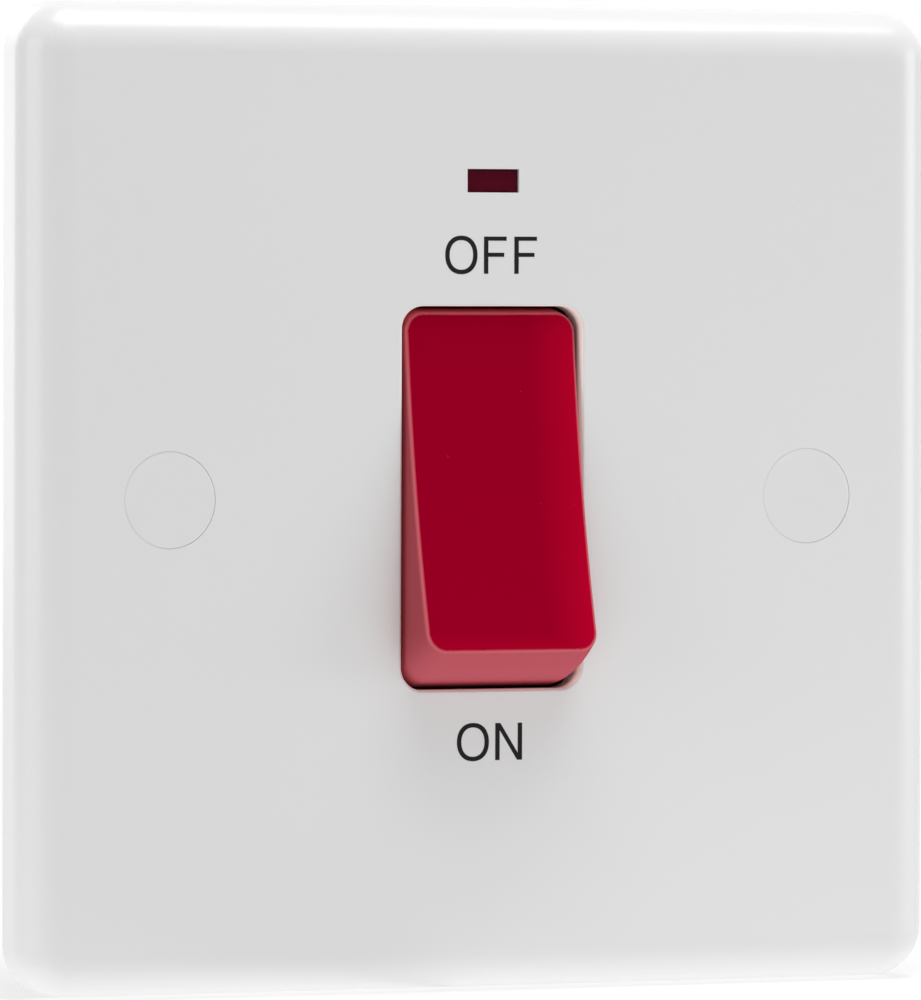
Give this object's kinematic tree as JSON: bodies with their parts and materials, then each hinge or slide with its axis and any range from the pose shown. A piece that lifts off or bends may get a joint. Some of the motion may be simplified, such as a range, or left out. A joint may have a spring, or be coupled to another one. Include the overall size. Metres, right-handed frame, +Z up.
{
  "type": "cooker control unit",
  "caption": "Square white wall plate with a red double-pole rocker, neon window, capped fixing screws, and a housing behind with screw terminals.",
  "frame": {"origin": "middle of the two fixing screws, on the wall plane that the rim of the plate closes on", "axes": "+X to the right and +Z up as seen from the room, +Y into the wall along the fixing screws"},
  "size_m": [0.086, 0.0382, 0.086],
  "materials": {
    "plate_white": "smooth moulded urea, soft gloss",
    "rocker_red": "smooth moulded red plastic",
    "lens_red": "clear dark red plastic",
    "housing_black": "moulded phenolic, fine satin",
    "brass": "drawn brass, as machined",
    "copper": "rolled copper strip",
    "silver": "silver contact metal",
    "zinc_steel": "zinc-plated steel",
    "spring_steel": "drawn spring wire",
    "plunger_white": "moulded nylon",
    "lamp_glass": "clear glass tube",
    "resistor_body": "lacquered barrel",
    "lead_wire": "tinned wire"
  },
  "bodies": {
    "plate_and_housing": {"front_plate": "plate_white", "screw_cap_left": "plate_white", "screw_cap_right": "plate_white", "fixing_screw_left": "zinc_steel", "fixing_screw_right": "zinc_steel", "neon_lens": "lens_red", "neon_lamp": "lamp_glass", "neon_resistor": "resistor_body", "neon_lead_neutral": "lead_wire", "neon_lead_resistor": "lead_wire", "neon_lead_live": "lead_wire", "mechanism_frame": "housing_black", "switch_base": "housing_black", "base_screws": "zinc_steel", "earth_terminal": "brass", "fixed_tip_neutral": "silver", "load_strip_neutral": "brass", "supply_strip_neutral": "brass", "fixed_tip_live": "silver", "load_strip_live": "brass", "supply_strip_live": "brass", "terminal_neutral_supply": "brass", "terminal_neutral_load": "brass", "terminal_live_supply": "brass", "terminal_live_load": "brass"},
    "rocker": {"rocker": "rocker_red", "plunger_spring_neutral": "spring_steel", "plunger_spring_live": "spring_steel"},
    "plunger_neutral": {"plunger_neutral": "plunger_white"},
    "contact_neutral": {"moving_contact_neutral": "copper", "moving_tip_neutral": "silver"},
    "plunger_live": {"plunger_live": "plunger_white"},
    "contact_live": {"moving_contact_live": "copper", "moving_tip_live": "silver"},
    "clamp_screw_neutral_supply_inner": {"clamp_screw_neutral_supply_inner": "brass"},
    "clamp_screw_neutral_supply_outer": {"clamp_screw_neutral_supply_outer": "brass"},
    "clamp_screw_neutral_load_inner": {"clamp_screw_neutral_load_inner": "brass"},
    "clamp_screw_neutral_load_outer": {"clamp_screw_neutral_load_outer": "brass"},
    "clamp_screw_live_supply_inner": {"clamp_screw_live_supply_inner": "brass"},
    "clamp_screw_live_supply_outer": {"clamp_screw_live_supply_outer": "brass"},
    "clamp_screw_live_load_inner": {"clamp_screw_live_load_inner": "brass"},
    "clamp_screw_live_load_outer": {"clamp_screw_live_load_outer": "brass"},
    "clamp_screw_earth_inner": {"clamp_screw_earth_inner": "brass"},
    "clamp_screw_earth_outer": {"clamp_screw_earth_outer": "brass"}
  },
  "joints": [
    {"name": "rocker_switch", "type": "hinge", "parent": "plate_and_housing", "child": "rocker", "pos_m": [0, -0.0015, 0], "axis": [1, 0, 0], "range_deg": [0, 22.4]},
    {"name": "plunger_slide_neutral", "type": "slide", "parent": "rocker", "child": "plunger_neutral", "axis": [0, 0.981, -0.1942], "range_m": [-0.0012, 0], "stiffness_N_per_m": 400, "springref_m": 0.003, "deforming": ["plunger_spring_neutral"]},
    {"name": "contact_rock_neutral", "type": "hinge", "parent": "plate_and_housing", "child": "contact_neutral", "pos_m": [-0.0042, 0.00878, 0], "axis": [1, 0, 0], "range_deg": [-18.05, 0]},
    {"name": "plunger_slide_live", "type": "slide", "parent": "rocker", "child": "plunger_live", "axis": [0, 0.981, -0.1942], "range_m": [-0.0012, 0], "stiffness_N_per_m": 400, "springref_m": 0.003, "deforming": ["plunger_spring_live"]},
    {"name": "contact_rock_live", "type": "hinge", "parent": "plate_and_housing", "child": "contact_live", "pos_m": [0.0042, 0.00878, 0], "axis": [1, 0, 0], "range_deg": [-18.05, 0]},
    {"name": "clamp_neutral_supply_inner", "type": "slide", "parent": "plate_and_housing", "child": "clamp_screw_neutral_supply_inner", "axis": [0, -1, 0], "range_m": [0, 0.003]},
    {"name": "clamp_neutral_supply_outer", "type": "slide", "parent": "plate_and_housing", "child": "clamp_screw_neutral_supply_outer", "axis": [0, -1, 0], "range_m": [0, 0.003]},
    {"name": "clamp_neutral_load_inner", "type": "slide", "parent": "plate_and_housing", "child": "clamp_screw_neutral_load_inner", "axis": [0, -1, 0], "range_m": [0, 0.003]},
    {"name": "clamp_neutral_load_outer", "type": "slide", "parent": "plate_and_housing", "child": "clamp_screw_neutral_load_outer", "axis": [0, -1, 0], "range_m": [0, 0.003]},
    {"name": "clamp_live_supply_inner", "type": "slide", "parent": "plate_and_housing", "child": "clamp_screw_live_supply_inner", "axis": [0, -1, 0], "range_m": [0, 0.003]},
    {"name": "clamp_live_supply_outer", "type": "slide", "parent": "plate_and_housing", "child": "clamp_screw_live_supply_outer", "axis": [0, -1, 0], "range_m": [0, 0.003]},
    {"name": "clamp_live_load_inner", "type": "slide", "parent": "plate_and_housing", "child": "clamp_screw_live_load_inner", "axis": [0, -1, 0], "range_m": [0, 0.003]},
    {"name": "clamp_live_load_outer", "type": "slide", "parent": "plate_and_housing", "child": "clamp_screw_live_load_outer", "axis": [0, -1, 0], "range_m": [0, 0.003]},
    {"name": "clamp_earth_inner", "type": "slide", "parent": "plate_and_housing", "child": "clamp_screw_earth_inner", "axis": [0, -1, 0], "range_m": [0, 0.0022]},
    {"name": "clamp_earth_outer", "type": "slide", "parent": "plate_and_housing", "child": "clamp_screw_earth_outer", "axis": [0, -1, 0], "range_m": [0, 0.0022]}
  ],
  "couplings": [
    {"joint": "contact_rock_neutral", "follows": "rocker_switch", "ratio": -0.80357},
    {"joint": "contact_rock_live", "follows": "rocker_switch", "ratio": -0.80357}
  ]
}
